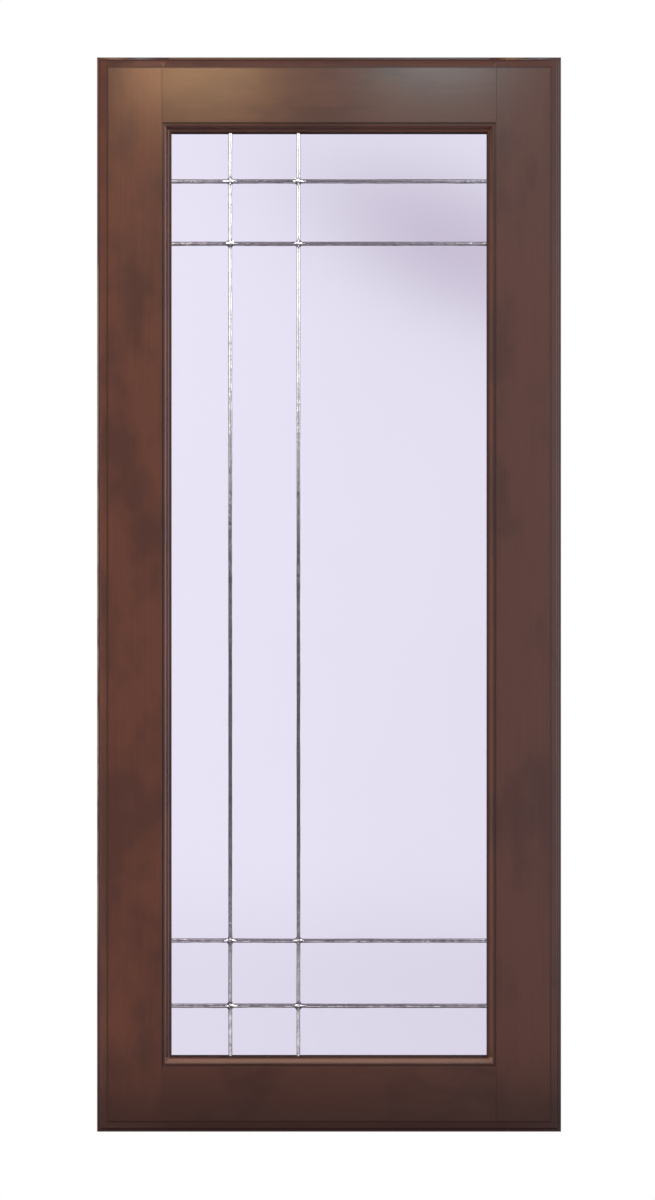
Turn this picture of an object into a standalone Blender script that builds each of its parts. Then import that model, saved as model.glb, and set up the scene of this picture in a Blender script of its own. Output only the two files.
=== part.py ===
"""Glazed cabinet door: a stained hardwood frame round a leaded glass panel.

The door hangs upright and is seen from the front along +Y, with X to the right and Z up.
The back of the frame lies in the plane Y = 0. The origin is on the back of the left
stile, on the line of the hinges, at half the door's height. Lengths are in metres.

Outlines are drawn as (across, depth) points: across runs from the outer edge of a
member towards the glass, and depth runs from the front face to the back.
"""

import math

import bmesh
import bpy
from mathutils import Matrix, Vector

# The door
DOOR_WIDTH = 0.396
DOOR_HEIGHT = 0.917
DOOR_THICKNESS = 0.022
STILE_WIDTH = 0.063
RAIL_WIDTH = 0.0638
HINGE_LINE = 0.0225
BACK_EASE = 0.0008

# The moulding round the outer edge, from the face outwards: a step, a ledge, a sloping
# crown with a round outer end, a cove, a flat lip and a rounded arris
EDGE_WIDTH = 0.0095
EDGE_STEP = 0.0012
EDGE_LEDGE = 0.0008
CROWN_TILT = math.radians(12)
CROWN_ROUND = 0.0014
COVE_RADIUS = 0.0014
EDGE_LIP = 0.001
EDGE_ROUND = 0.0006

# The moulding round the glass, from the face inwards: a quirk, a small round crest
# below the face, an ogee and a narrow shelf on top of the lip that holds the glass
STICKING_WIDTH = 0.0073
STICKING_STEP = 0.0013
QUIRK_WIDTH = 0.0009
QUIRK_DEPTH = 0.0006
OGEE_DROP = 0.0039
SHELF_WIDTH = 0.0006
LIP_THICKNESS = 0.0033

# The rebate behind the lip, and the beads that hold the panel in it
REBATE_WIDTH = 0.008
PANEL_CLEARANCE = 0.001
BEAD_ROUND = 0.002

# The leaded panel
GLASS_THICKNESS = 0.003
CAME_FACE = 0.0032
CAME_HEART = 0.001
CAME_LEAF_EDGE = 0.0004
CAME_CROWN = 0.0009
BORDER_CAME_FACE = 0.005
UPRIGHTS_FROM_LEFT = (0.0505, 0.1088)
CROSSES_FROM_TOP = (0.0414, 0.0947)
CROSSES_FROM_BOTTOM = (0.0988, 0.0431)
SOLDER_REACH = 0.0055
SOLDER_HEIGHT = 0.0007
SOLDER_POINT = 0.72

# The gap left wherever two pieces meet
FIT_GAP = 0.0003

# Faceting, and the angle past which an edge is shaded sharp
MOULDING_STEPS = 8
SMALL_STEPS = 3
CAME_STEPS = 6
SOLDER_SPOKES = 24
SOLDER_RINGS = 4
SHARP_ANGLE = math.radians(35)
WELD_DISTANCE = 1e-6

# Worked out from the sizes above
CENTRE_X = DOOR_WIDTH / 2 - HINGE_LINE
SIGHT_LEFT = STILE_WIDTH - HINGE_LINE
SIGHT_RIGHT = DOOR_WIDTH - STILE_WIDTH - HINGE_LINE
SIGHT_TOP = DOOR_HEIGHT / 2 - RAIL_WIDTH
SIGHT_BOTTOM = RAIL_WIDTH - DOOR_HEIGHT / 2
CUTTER_EXTRA = DOOR_THICKNESS
COVE_END = EDGE_ROUND + EDGE_LIP + COVE_RADIUS
CROWN_RUN = EDGE_WIDTH - EDGE_LEDGE - COVE_END - CROWN_ROUND * (1 - math.sin(CROWN_TILT))
CROWN_FOOT = EDGE_STEP + CROWN_RUN * math.tan(CROWN_TILT) + CROWN_ROUND * math.cos(CROWN_TILT)
EDGE_DEPTH = CROWN_FOOT + COVE_RADIUS
CREST_PLACE = QUIRK_WIDTH + QUIRK_DEPTH
OGEE_RUN = STICKING_WIDTH - CREST_PLACE - SHELF_WIDTH
OGEE_SWEEP = 2 * math.atan2(OGEE_DROP, OGEE_RUN)
OGEE_RADIUS = OGEE_RUN / 2 / math.sin(OGEE_SWEEP)
SHELF_DEPTH = STICKING_STEP + OGEE_DROP
SEAT_DEPTH = SHELF_DEPTH + LIP_THICKNESS
PANEL_MARGIN = REBATE_WIDTH - PANEL_CLEARANCE
CAME_CHANNEL = GLASS_THICKNESS + 2 * FIT_GAP
PANEL_THICKNESS = CAME_CHANNEL + 2 * CAME_CROWN
PANEL_DEPTH = SEAT_DEPTH + FIT_GAP + PANEL_THICKNESS / 2
BEAD_DEPTH = PANEL_DEPTH + PANEL_THICKNESS / 2 + FIT_GAP

# A member's turn about Y, in degrees, which points its across direction at the glass
TURNS = {"left": 0, "top": 90, "right": 180, "bottom": 270}

# The panes, in rising order
COLUMNS = ("left", "middle", "right")
ROWS = ("bottom", "lower", "tall", "upper", "top")

WOOD = {"color": (0.115, 0.05, 0.037, 1), "roughness": 0.35, "metallic": 0.0}
BEAD_WOOD = {"color": (0.1, 0.043, 0.032, 1), "roughness": 0.45, "metallic": 0.0}
GLASS = {"color": (0.88, 0.86, 0.93, 1), "roughness": 0.02, "metallic": 0.0}
CAME = {"color": (0.42, 0.41, 0.43, 1), "roughness": 0.3, "metallic": 1.0}
SOLDER = {"color": (0.72, 0.71, 0.72, 1), "roughness": 0.22, "metallic": 1.0}


# Scene helpers


def clear_scene():
    for obj in list(bpy.data.objects):
        bpy.data.objects.remove(obj, do_unlink=True)


def new_collection(name):
    collection = bpy.data.collections.new(name)
    bpy.context.scene.collection.children.link(collection)
    return collection


def new_material(name, look):
    material = bpy.data.materials.new(name)
    material.use_nodes = True
    shader = material.node_tree.nodes["Principled BSDF"]
    shader.inputs["Base Color"].default_value = look["color"]
    shader.inputs["Roughness"].default_value = look["roughness"]
    shader.inputs["Metallic"].default_value = look["metallic"]
    material.diffuse_color = look["color"]
    return material


def add_object(name, mesh, collection, material=None):
    obj = bpy.data.objects.new(name, mesh)
    collection.objects.link(obj)
    if material:
        obj.data.materials.clear()
        obj.data.materials.append(material)
    return obj


def hide_cutter(obj):
    obj.hide_render = True
    obj.display_type = "WIRE"


def cut(obj, cutter):
    modifier = obj.modifiers.new("Cut by " + cutter.name, "BOOLEAN")
    modifier.operation = "DIFFERENCE"
    modifier.solver = "EXACT"
    modifier.object = cutter


# Outlines, as (across, depth) points


def ellipse_arc(centre, radii, start, end, steps):
    """Points on an ellipse from one angle to another in degrees, both ends included."""
    points = []
    for step in range(steps + 1):
        angle = math.radians(start + (end - start) * step / steps)
        across = centre[0] + radii[0] * math.cos(angle)
        depth = centre[1] + radii[1] * math.sin(angle)
        points.append((across, depth))
    return points


def edge_moulding():
    """The outer moulding, from the outer edge up to the face."""
    arris = (EDGE_ROUND, EDGE_DEPTH + EDGE_ROUND)
    cove = (EDGE_ROUND + EDGE_LIP, CROWN_FOOT)
    crown = (COVE_END + CROWN_ROUND, CROWN_FOOT)
    crown_turn = 270 - math.degrees(CROWN_TILT)
    return (
        ellipse_arc(arris, (EDGE_ROUND, EDGE_ROUND), 180, 270, SMALL_STEPS)
        + ellipse_arc(cove, (COVE_RADIUS, COVE_RADIUS), 90, 0, SMALL_STEPS)
        + ellipse_arc(crown, (CROWN_ROUND, CROWN_ROUND), 180, crown_turn, MOULDING_STEPS)[1:]
        + [(EDGE_WIDTH - EDGE_LEDGE, EDGE_STEP), (EDGE_WIDTH, EDGE_STEP), (EDGE_WIDTH, 0)]
    )


def ogee(width, grow=0.0):
    """The sticking from its crest inwards: the ogee, the shelf, the lip and the seat.

    With grow, the outline moves out of the wood by that much, which leaves a gap of
    that size round the moulding when it is cut from a coped end.
    """
    turn = math.degrees(OGEE_SWEEP)
    crest = width - STICKING_WIDTH + CREST_PLACE
    swell = (crest, STICKING_STEP + OGEE_RADIUS)
    swell_radii = (OGEE_RADIUS + grow, OGEE_RADIUS + grow)
    hollow = (width - SHELF_WIDTH, SHELF_DEPTH - OGEE_RADIUS)
    hollow_radii = (OGEE_RADIUS - grow, OGEE_RADIUS - grow)
    return (
        ellipse_arc(swell, swell_radii, 270, 270 + turn, MOULDING_STEPS)
        + ellipse_arc(hollow, hollow_radii, 90 + turn, 90, MOULDING_STEPS)[1:]
        + [(width + grow, SHELF_DEPTH - grow), (width + grow, SEAT_DEPTH + grow)]
        + [(width - REBATE_WIDTH + grow, SEAT_DEPTH + grow)]
    )


def sticking(width):
    """The inner moulding of a member this wide, from the face down to the rebate's wall."""
    face_end = width - STICKING_WIDTH
    quirk_floor = STICKING_STEP + QUIRK_DEPTH
    crest = (face_end + CREST_PLACE, quirk_floor)
    rise = ellipse_arc(crest, (QUIRK_DEPTH, QUIRK_DEPTH), 180, 270, SMALL_STEPS)
    return [(face_end, 0), (face_end, quirk_floor)] + rise[:-1] + ogee(width)


def member_outline(width):
    """The whole section of a stile or a rail."""
    back = [
        (width - REBATE_WIDTH, DOOR_THICKNESS),
        (BACK_EASE, DOOR_THICKNESS),
        (0, DOOR_THICKNESS - BACK_EASE),
    ]
    return edge_moulding() + sticking(width) + back


def end_waste_outline():
    """What the outer moulding takes off a member's end, and all that is past it."""
    past = DOOR_THICKNESS + CUTTER_EXTRA
    waste = [
        (EDGE_WIDTH, -CUTTER_EXTRA),
        (-CUTTER_EXTRA, -CUTTER_EXTRA),
        (-CUTTER_EXTRA, past),
        (BACK_EASE, past),
        (BACK_EASE, DOOR_THICKNESS),
        (0, DOOR_THICKNESS - BACK_EASE),
    ]
    return waste + edge_moulding()


def cope_outline():
    """What a rail's end loses so that it fits over a stile, with the fit gap.

    The stile's quirk stays open under the rail's face.
    """
    past = DOOR_THICKNESS + CUTTER_EXTRA
    face_end = STILE_WIDTH - STICKING_WIDTH + FIT_GAP
    wall = STILE_WIDTH - REBATE_WIDTH + FIT_GAP
    outside = [(-CUTTER_EXTRA, past), (-CUTTER_EXTRA, -CUTTER_EXTRA)]
    return (
        [(face_end, -CUTTER_EXTRA), (face_end, STICKING_STEP - FIT_GAP)]
        + ogee(STILE_WIDTH, FIT_GAP)
        + [(wall, past)]
        + outside
    )


def bead_outline():
    """A glazing bead, from the sight line back to the rebate's wall, rounded inside."""
    sight = REBATE_WIDTH - FIT_GAP
    radius = min(BEAD_ROUND, (DOOR_THICKNESS - BEAD_DEPTH) / 2)
    corner = (sight - radius, DOOR_THICKNESS - radius)
    arc = ellipse_arc(corner, (radius, radius), 0, 90, MOULDING_STEPS)
    return [(0, BEAD_DEPTH), (sight, BEAD_DEPTH)] + arc + [(0, DOOR_THICKNESS)]


def came_outline():
    """An H section with a crowned leaf in front and behind, centred on the glass."""
    half_face = CAME_FACE / 2
    half_heart = CAME_HEART / 2
    half_channel = CAME_CHANNEL / 2
    leaf_edge = half_channel + CAME_LEAF_EDGE
    radii = (half_face, CAME_CROWN - CAME_LEAF_EDGE)
    front = ellipse_arc((0, -leaf_edge), radii, 180, 360, CAME_STEPS)
    back = ellipse_arc((0, leaf_edge), radii, 0, 180, CAME_STEPS)
    right_channel = [
        (half_face, -half_channel),
        (half_heart, -half_channel),
        (half_heart, half_channel),
        (half_face, half_channel),
    ]
    left_channel = [(-across, -depth) for across, depth in right_channel]
    return front + right_channel + back + left_channel


def border_came_outline():
    """A U section, from the panel's outer edge towards its middle."""
    half_channel = CAME_CHANNEL / 2
    half_depth = PANEL_THICKNESS / 2
    return [
        (0, -half_depth),
        (BORDER_CAME_FACE, -half_depth),
        (BORDER_CAME_FACE, -half_channel),
        (CAME_HEART, -half_channel),
        (CAME_HEART, half_channel),
        (BORDER_CAME_FACE, half_channel),
        (BORDER_CAME_FACE, half_depth),
        (0, half_depth),
    ]


# Solids


def bar_mesh(name, outline, length):
    """A bar with this outline in X and Y, centred along Z."""
    curve = bpy.data.curves.new(name, "CURVE")
    curve.dimensions = "2D"
    curve.fill_mode = "BOTH"
    curve.extrude = length / 2
    spline = curve.splines.new("POLY")
    spline.points.add(len(outline) - 1)
    for point, (across, depth) in zip(spline.points, outline):
        point.co = (across, depth, 0, 1)
    spline.use_cyclic_u = True
    guide = bpy.data.objects.new(name, curve)
    bpy.context.scene.collection.objects.link(guide)
    graph = bpy.context.evaluated_depsgraph_get()
    mesh = bpy.data.meshes.new_from_object(guide.evaluated_get(graph))
    bpy.data.objects.remove(guide)
    bpy.data.curves.remove(curve)
    weld(mesh)
    shade(mesh)
    mesh.name = name
    return mesh


def weld(mesh):
    """Joins a bar's loose caps to its sides."""
    work = bmesh.new()
    work.from_mesh(mesh)
    bmesh.ops.remove_doubles(work, verts=work.verts, dist=WELD_DISTANCE)
    bmesh.ops.recalc_face_normals(work, faces=work.faces)
    work.to_mesh(mesh)
    work.free()


def shade(mesh):
    mesh.shade_smooth()
    mesh.set_sharp_from_angle(angle=SHARP_ANGLE)


def keep_cuts(obj):
    """Makes an object's cuts part of its mesh, so that their edges can be shaded too."""
    graph = bpy.context.evaluated_depsgraph_get()
    mesh = bpy.data.meshes.new_from_object(obj.evaluated_get(graph))
    mesh.name = obj.name
    obj.modifiers.clear()
    obj.data = mesh
    shade(mesh)


def mitre_ends(mesh, joint_gap):
    """Slopes both ends of a bar at 45 degrees, so that it gets shorter towards the glass."""
    for vertex in mesh.vertices:
        shorten = vertex.co.x + joint_gap / 2
        vertex.co.z -= math.copysign(shorten, vertex.co.z)


def stand(obj, side, x, z, depth=0.0):
    """Turns a bar to one side of the door and puts its outline's zero at this place."""
    obj.rotation_euler = (0, math.radians(TURNS[side]), 0)
    obj.location = (x, depth - DOOR_THICKNESS, z)


def side_spot(side, inset=0.0):
    """The middle of one side of the door's outline, moved inwards by inset."""
    spots = {
        "left": (-HINGE_LINE + inset, 0),
        "right": (DOOR_WIDTH - HINGE_LINE - inset, 0),
        "top": (CENTRE_X, DOOR_HEIGHT / 2 - inset),
        "bottom": (CENTRE_X, inset - DOOR_HEIGHT / 2),
    }
    return spots[side]


def add_cutter(name, outline, length, side, collection):
    cutter = add_object(name, bar_mesh(name, outline, length), collection)
    stand(cutter, side, *side_spot(side))
    hide_cutter(cutter)
    return cutter


# The wooden frame


def add_stiles(collection, cutters, material):
    """Full-height stiles, with the outer moulding run round their ends as well."""
    length = DOOR_WIDTH + 2 * CUTTER_EXTRA
    outline = end_waste_outline()
    ends = [
        add_cutter(side + "_end_cutter", outline, length, side, cutters)
        for side in ("top", "bottom")
    ]
    blank = bar_mesh("stile", member_outline(STILE_WIDTH), DOOR_HEIGHT + CUTTER_EXTRA)
    for side in ("left", "right"):
        stile = add_object(side + "_stile", blank, collection, material)
        stand(stile, side, *side_spot(side))
        for end in ends:
            cut(stile, end)
        keep_cuts(stile)


def add_rails(collection, cutters, material):
    """Rails between the stiles, their ends coped over the stiles' moulding."""
    length = DOOR_HEIGHT + 2 * CUTTER_EXTRA
    copes = [
        add_cutter(side + "_cope_cutter", cope_outline(), length, side, cutters)
        for side in ("left", "right")
    ]
    blank = bar_mesh("rail", member_outline(RAIL_WIDTH), DOOR_WIDTH - STILE_WIDTH)
    for side in ("top", "bottom"):
        rail = add_object(side + "_rail", blank, collection, material)
        stand(rail, side, *side_spot(side))
        for cope in copes:
            cut(rail, cope)
        keep_cuts(rail)


def wall_inset(side):
    """How far the rebate's wall lies from the outer edge on this side."""
    width = STILE_WIDTH if side in ("left", "right") else RAIL_WIDTH
    return width - REBATE_WIDTH


def rebate_length(side):
    """The rebate's length along this side, from wall to wall."""
    if side in ("left", "right"):
        return DOOR_HEIGHT - 2 * wall_inset("top")
    return DOOR_WIDTH - 2 * wall_inset("left")


def add_beads(collection, material):
    """Four mitred beads behind the panel, flush with the back of the frame."""
    for side in TURNS:
        name = side + "_glazing_bead"
        mesh = bar_mesh(name, bead_outline(), rebate_length(side) - 2 * FIT_GAP)
        mitre_ends(mesh, FIT_GAP)
        bead = add_object(name, mesh, collection, material)
        stand(bead, side, *side_spot(side, wall_inset(side) + FIT_GAP))


# The leaded panel


def panel_lines():
    """The middle of each upright and each cross came, in X and in Z."""
    uprights = [SIGHT_LEFT + away for away in UPRIGHTS_FROM_LEFT]
    crosses = [SIGHT_TOP - away for away in CROSSES_FROM_TOP]
    crosses += [SIGHT_BOTTOM + away for away in CROSSES_FROM_BOTTOM]
    return uprights, crosses


def spans(low, high, lines, end_inset, line_inset):
    """The clear stretches from low to high between these lines, in rising order."""
    edges = [low + end_inset]
    for line in sorted(lines):
        edges += [line - line_inset, line + line_inset]
    edges.append(high - end_inset)
    return list(zip(edges[::2], edges[1::2]))


def add_box(name, low, high, collection, material):
    low, high = Vector(low), Vector(high)
    work = bmesh.new()
    size = Matrix.Diagonal((*(high - low), 1))
    bmesh.ops.create_cube(work, size=1, matrix=size)
    mesh = bpy.data.meshes.new(name)
    work.to_mesh(mesh)
    work.free()
    obj = add_object(name, mesh, collection, material)
    obj.location = (low + high) / 2
    return obj


def add_panes(collection, material, uprights, crosses):
    """A pane of glass for each field of the leading, held in the cames' channels."""
    inset = CAME_HEART + FIT_GAP
    line_inset = CAME_HEART / 2 + FIT_GAP
    left, right = SIGHT_LEFT - PANEL_MARGIN, SIGHT_RIGHT + PANEL_MARGIN
    bottom, top = SIGHT_BOTTOM - PANEL_MARGIN, SIGHT_TOP + PANEL_MARGIN
    front = PANEL_DEPTH - GLASS_THICKNESS / 2 - DOOR_THICKNESS
    back = front + GLASS_THICKNESS
    widths = spans(left, right, uprights, inset, line_inset)
    heights = spans(bottom, top, crosses, inset, line_inset)
    for row, (z0, z1) in zip(ROWS, heights):
        for column, (x0, x1) in zip(COLUMNS, widths):
            name = f"pane_{row}_{column}"
            add_box(name, (x0, front, z0), (x1, back, z1), collection, material)


def add_border_cames(collection, material):
    """The came round the panel's edge, mitred at the corners and hidden in the rebate."""
    for side in TURNS:
        name = "border_came_" + side
        length = rebate_length(side) - 2 * PANEL_CLEARANCE
        mesh = bar_mesh(name, border_came_outline(), length)
        mitre_ends(mesh, FIT_GAP)
        came = add_object(name, mesh, collection, material)
        spot = side_spot(side, wall_inset(side) + PANEL_CLEARANCE)
        stand(came, side, *spot, PANEL_DEPTH)


def add_cames(collection, material, uprights, crosses):
    """Uprights in one length, and cross cames cut to fit between them."""
    inset = BORDER_CAME_FACE + FIT_GAP
    left, right = SIGHT_LEFT - PANEL_MARGIN, SIGHT_RIGHT + PANEL_MARGIN
    height = SIGHT_TOP - SIGHT_BOTTOM + 2 * PANEL_MARGIN
    mesh = bar_mesh("upright_came", came_outline(), height - 2 * inset)
    for side, x in zip(("left", "right"), uprights):
        came = add_object("upright_came_" + side, mesh, collection, material)
        stand(came, "left", x, 0, PANEL_DEPTH)
    lengths = spans(left, right, uprights, inset, CAME_FACE / 2 + FIT_GAP)
    for column, (x0, x1) in zip(COLUMNS, lengths):
        mesh = bar_mesh("cross_came_" + column, came_outline(), x1 - x0)
        for row, z in enumerate(crosses, 1):
            name = f"cross_came_{row}_{column}"
            came = add_object(name, mesh, collection, material)
            stand(came, "top", (x0 + x1) / 2, z, PANEL_DEPTH)


def solder_mesh():
    """A low dome with four points that run out along the cames, flat underneath."""
    work = bmesh.new()
    bmesh.ops.create_uvsphere(
        work, u_segments=SOLDER_SPOKES, v_segments=SOLDER_RINGS, radius=1
    )
    for vertex in work.verts:
        angle = math.atan2(vertex.co.y, vertex.co.x)
        spread = abs(math.cos(angle)) ** SOLDER_POINT + abs(math.sin(angle)) ** SOLDER_POINT
        reach = SOLDER_REACH / spread ** (1 / SOLDER_POINT)
        vertex.co.x *= reach
        vertex.co.y *= reach
        vertex.co.z = max(vertex.co.z, 0) * SOLDER_HEIGHT
    mesh = bpy.data.meshes.new("solder_joint")
    work.to_mesh(mesh)
    work.free()
    shade(mesh)
    return mesh


def add_solder_joints(collection, material, uprights, crosses):
    """One joint on the front and one on the back of every crossing."""
    mesh = solder_mesh()
    away = PANEL_THICKNESS / 2 + FIT_GAP
    middle = PANEL_DEPTH - DOOR_THICKNESS
    for face, toward in (("front", -1), ("back", 1)):
        for row, z in enumerate(crosses, 1):
            for side, x in zip(("left", "right"), uprights):
                name = f"solder_{face}_{row}_{side}"
                joint = add_object(name, mesh, collection, material)
                joint.rotation_euler = (math.radians(-90 * toward), 0, 0)
                joint.location = (x, middle + toward * away, z)


def main():
    clear_scene()
    door = new_collection("Glazed door")
    cutters = new_collection("Cutters")
    wood = new_material("Stained hardwood", WOOD)
    add_stiles(door, cutters, wood)
    add_rails(door, cutters, wood)
    add_beads(door, new_material("Bead hardwood", BEAD_WOOD))
    uprights, crosses = panel_lines()
    lead = new_material("Came metal", CAME)
    add_panes(door, new_material("Clear glass", GLASS), uprights, crosses)
    add_border_cames(door, lead)
    add_cames(door, lead, uprights, crosses)
    add_solder_joints(door, new_material("Solder", SOLDER), uprights, crosses)


main()
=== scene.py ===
"""The looks of a glazed cabinet door: stained hardwood round a leaded panel of clear glass.

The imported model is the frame. The panes keep their solids, and every other piece is made
again over its solid with finer mouldings, flowing cames and soldered crossings. The file
is laid out as an add-on: settings, one operator for each group of pieces and one for the
stage, and a panel that lists them. Lengths are in metres.

A bar is drawn as an outline of (across, depth) points and runs along its own Z. Across
goes from the outer edge of the door towards the glass, and depth from front to back.
"""

import math
from functools import partial

import bmesh
import bpy
from bpy.props import FloatProperty, FloatVectorProperty, PointerProperty
from mathutils import Matrix, Vector, noise


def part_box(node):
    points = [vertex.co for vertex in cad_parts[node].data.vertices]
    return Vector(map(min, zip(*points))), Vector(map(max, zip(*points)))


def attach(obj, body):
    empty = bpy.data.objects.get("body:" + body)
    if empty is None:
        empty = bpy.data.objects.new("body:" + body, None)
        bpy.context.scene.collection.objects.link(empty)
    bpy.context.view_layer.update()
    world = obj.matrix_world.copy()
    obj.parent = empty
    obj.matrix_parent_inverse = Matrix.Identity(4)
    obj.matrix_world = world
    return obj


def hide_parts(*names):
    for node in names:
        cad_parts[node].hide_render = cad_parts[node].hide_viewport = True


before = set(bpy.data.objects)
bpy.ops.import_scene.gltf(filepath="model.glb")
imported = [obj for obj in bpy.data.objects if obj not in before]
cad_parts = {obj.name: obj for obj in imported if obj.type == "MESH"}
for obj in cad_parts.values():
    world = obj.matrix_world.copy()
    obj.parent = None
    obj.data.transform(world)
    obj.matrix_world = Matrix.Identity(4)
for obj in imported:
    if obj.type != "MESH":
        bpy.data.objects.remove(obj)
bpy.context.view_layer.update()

bl_info = {
    "name": "Glazed Cabinet Door",
    "version": (1, 0, 0),
    "blender": (4, 5, 0),
    "location": "3D View > Sidebar > Glazed Door",
    "description": "Finishes a stained hardwood door with a leaded panel of clear glass",
    "category": "Add Mesh",
}

# The frame's own places. The sight edges are the frame's inner edges, round the glass
(DOOR_LEFT, FACE_Y, DOOR_BOTTOM), (SIGHT_LEFT, BACK_Y, DOOR_TOP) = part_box("left_stile")
DOOR_BOX = (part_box("left_stile")[0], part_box("right_stile")[1])
DOOR_RIGHT = DOOR_BOX[1].x
SIGHT_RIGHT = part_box("right_stile")[0].x
SIGHT_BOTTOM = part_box("bottom_rail")[1].z
SIGHT_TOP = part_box("top_rail")[0].z
DOOR_THICKNESS = BACK_Y - FACE_Y
STILE_WIDTH = SIGHT_LEFT - DOOR_LEFT
RAIL_WIDTH = DOOR_TOP - SIGHT_TOP
CENTRE_X = (DOOR_LEFT + DOOR_RIGHT) / 2
CENTRE_Z = (DOOR_BOTTOM + DOOR_TOP) / 2

# How far a cutter reaches past the wood, and where it ends before and behind the door
CUTTER_EXTRA = DOOR_THICKNESS
SHORT = -CUTTER_EXTRA
PAST = DOOR_THICKNESS + CUTTER_EXTRA

# Facets of the round parts of an outline
ARRIS_STEPS = 5
LEAF_STEPS = 3
SHELF_STEPS = 4
COVE_STEPS = 6
CROWN_STEPS = 8
BEAD_STEPS = 10
CURVE_STEPS = 14

# A member's turn about Y, in degrees, which points its across direction at the glass
TURNS = {"left": 0, "top": 90, "right": 180, "bottom": 270}
ROWS = (1, 2, 3, 4)
COLUMNS = ("left", "middle", "right")

SHARP_ANGLE = math.radians(32)

# The board that each member is cut from: whether its grain runs across the door, where in
# the figure it lies, how far the figure darkens it and how far it reddens it
BOARDS = {
    "left stile": (False, (2.6, 0, 0.9), 0.1, 1.0),
    "right stile": (False, (0.9, 0, 0.7), 0.45, 0.25),
    "top rail": (True, (1.3, 0, 0.4), 0.4, 0.3),
    "bottom rail": (True, (1.9, 0, 0.1), 0.8, 0.2),
    "upright beads": (False, (2.3, 0, 0.5), 0.6, 0.4),
    "cross beads": (True, (2.7, 0, 0.3), 0.6, 0.4),
}

# Noise, in patches to the metre along each axis, and bumps, as strength and distance
FIGURE_PATCHES = (24, 24, 13)
STREAK_PATCHES = (620, 620, 14)
FLECK_PATCHES = (2600, 2600, 260)
# This noise breaks up the painted highlight along the left arris
ARRIS_HIGHLIGHT_PATCHES = (300, 300, 34)
TIN_CLOUDS = (180, 180, 180)
TIN_SPECKS = (900, 900, 900)
GLASS_WAVES = (6, 6, 4)
GLASS_HAZE = (40, 40, 40)
FLOOR_GRIT = (30, 30, 30)
GRAIN_BUMP = (0.12, 0.00008)
TIN_BUMP = (0.35, 0.0002)
GLASS_BUMP = (0.1, 0.002)

# Where stain, painted shade and painted highlights fade, as distances from the face, the ends, the side
# or the glass
FRONT_FADE = (0.009, 0.006)
# Painted shade along the top edge fades between these depths below the top
TOP_EDGE_SHADE_FADE = (0.0026, 0.0008)
# The painted highlight on the left arris fades over these distances from the edge and these heights
# from the middle
ARRIS_HIGHLIGHT_EDGE = (0.0016, 0.0008)
ARRIS_HIGHLIGHT_HEIGHTS = (0.33, 0.24)
# The lacquer stops, and painted shade darkens the wood, between these distances from the glass
LACQUER_FADE = (0.0005, 0.0025)
FOOT_HEIGHT = 0.08

# Shares to which stain, painted shade and painted highlights cover the wood below them
STREAK_COVER = 0.22
FLECK_COVER = 0.3
# Stain in the quirks, with painted shade there, along the top edge and at the foot
STAIN_AND_SHADE_COVER = 0.85
# Painted highlights on the left arris and the bottom crest
PAINTED_HIGHLIGHT_COVER = 0.8
# Painted shade on the wood next to the glass
GLASS_EDGE_SHADE = 0.45
BARE_ROUGHNESS = 0.5
ROUGHNESS_SPREAD = 0.04

# The lengths over which a came strays and ripples, and the part of the slow waves in it
SLOW_WAVE = 0.045
QUICK_WAVE = 0.012
SLOW_SHARE = 0.7
RIPPLE_WAVE = (0.0028, 0.002, 0.004)

# The solder's facets, how it falls off to each side and to its rim, and how uneven it is
SOLDER_FACETS = (56, 36)
SOLDER_FALL = 0.75
SOLDER_RIM = 6
ARM_SPREAD = 0.22
ARM_NOISE = 0.8
LUMP_SPREAD = 0.25
LUMP_WAVE = 0.0016

# Shares to which patina dulls the metal. The cross cames' larger share is partly painted shade: a
# darker copy of the tinned metal, for cames that mirror the dark room
UPRIGHT_DULLNESS = 0.45
CROSS_PATINA_AND_SHADE = 0.93
BORDER_DULLNESS = 0.9
SOLDER_DULLNESS = 0.1

# Soft shades on the backdrop behind the glass. Places are slopes from the camera's line
SHADOW_PLACE = (0.0349, 0.1015, 0)
SHADOW_TURN = math.radians(-23.5)
SHADOW_SIZE = (0.046, 0.02, 1)
SHADOW_DEPTH = 0.25
LOW_SHADE_FROM = -0.07
LOW_SHADE_TO = -0.11
LOW_SHADE_DEPTH = 0.085
SIDE_SHADE_FROM = -0.04
SIDE_SHADE_TO = 0.045
SIDE_SHADE_DEPTH = 0.05
SHADE_GREEN = 1.15

# The floor, with the shares of its radius between which it fades out
GRIT_COVER = 0.06
GRIT_COLOUR = (0.5, 0.5, 0.5, 1)
FLOOR_FADE = (0.6, 0.98)
FLOOR_SIDES = 96
FLOOR_ROUGHNESS = 0.7

# The heights of gaze between which the room gets brighter, and how much brighter
ROOM_RISE = (0.05, 0.5)
ROOM_OVERHEAD = 2.0


# Settings

LengthProperty = partial(FloatProperty, unit="LENGTH")
ShareProperty = partial(FloatProperty, min=0, max=1)
ColourProperty = partial(FloatVectorProperty, subtype="COLOR", size=4, min=0, max=1)


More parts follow.
